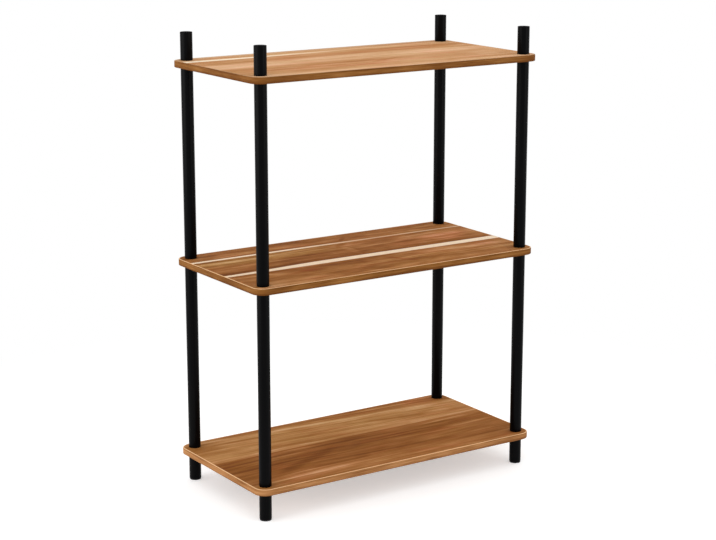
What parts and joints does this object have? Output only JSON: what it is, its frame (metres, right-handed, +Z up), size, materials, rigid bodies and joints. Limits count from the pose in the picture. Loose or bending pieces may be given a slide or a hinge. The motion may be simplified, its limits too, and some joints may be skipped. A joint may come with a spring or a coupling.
{
  "type": "shelving unit",
  "caption": "Open free-standing shelving unit: wood-veneered boards with rounded corners, bolted between stacked lengths of slim round black post, open on every side.",
  "frame": {"origin": "on the floor, under the centre of the boards", "axes": "+Z up, +X to the right along the boards, the front faces -Y"},
  "size_m": [0.6, 0.3, 0.8328],
  "materials": {
    "acacia_veneer": "satin veneer, grain along the width, pale sapwood stripes",
    "acacia_edge_band": "satin, grain along the edge, eased arrises",
    "black_lacquered_wood": "satin black lacquer",
    "zinc_plated_steel": "bright zinc plate",
    "black_plastic": "matt moulded"
  },
  "bodies": {
    "root": {"shelf_bottom": "acacia_veneer", "shelf_middle": "acacia_veneer", "shelf_top": "acacia_veneer", "edge_band_bottom": "acacia_edge_band", "edge_band_middle": "acacia_edge_band", "edge_band_top": "acacia_edge_band", "foot_post_front_left": "black_lacquered_wood", "post_bottom_middle_front_left": "black_lacquered_wood", "post_middle_top_front_left": "black_lacquered_wood", "top_stub_front_left": "black_lacquered_wood", "foot_post_front_right": "black_lacquered_wood", "post_bottom_middle_front_right": "black_lacquered_wood", "post_middle_top_front_right": "black_lacquered_wood", "top_stub_front_right": "black_lacquered_wood", "foot_post_back_left": "black_lacquered_wood", "post_bottom_middle_back_left": "black_lacquered_wood", "post_middle_top_back_left": "black_lacquered_wood", "top_stub_back_left": "black_lacquered_wood", "foot_post_back_right": "black_lacquered_wood", "post_bottom_middle_back_right": "black_lacquered_wood", "post_middle_top_back_right": "black_lacquered_wood", "top_stub_back_right": "black_lacquered_wood", "foot_glide_front_left": "black_plastic", "foot_glide_front_right": "black_plastic", "foot_glide_back_left": "black_plastic", "foot_glide_back_right": "black_plastic", "hanger_bolt_bottom_front_left": "zinc_plated_steel", "hanger_bolt_middle_front_left": "zinc_plated_steel", "hanger_bolt_top_front_left": "zinc_plated_steel", "hanger_bolt_bottom_front_right": "zinc_plated_steel", "hanger_bolt_middle_front_right": "zinc_plated_steel", "hanger_bolt_top_front_right": "zinc_plated_steel", "hanger_bolt_bottom_back_left": "zinc_plated_steel", "hanger_bolt_middle_back_left": "zinc_plated_steel", "hanger_bolt_top_back_left": "zinc_plated_steel", "hanger_bolt_bottom_back_right": "zinc_plated_steel", "hanger_bolt_middle_back_right": "zinc_plated_steel", "hanger_bolt_top_back_right": "zinc_plated_steel", "insert_nut_bottom_front_left": "zinc_plated_steel", "insert_nut_middle_front_left": "zinc_plated_steel", "insert_nut_top_front_left": "zinc_plated_steel", "insert_nut_bottom_front_right": "zinc_plated_steel", "insert_nut_middle_front_right": "zinc_plated_steel", "insert_nut_top_front_right": "zinc_plated_steel", "insert_nut_bottom_back_left": "zinc_plated_steel", "insert_nut_middle_back_left": "zinc_plated_steel", "insert_nut_top_back_left": "zinc_plated_steel", "insert_nut_bottom_back_right": "zinc_plated_steel", "insert_nut_middle_back_right": "zinc_plated_steel", "insert_nut_top_back_right": "zinc_plated_steel"}
  },
  "joints": []
}
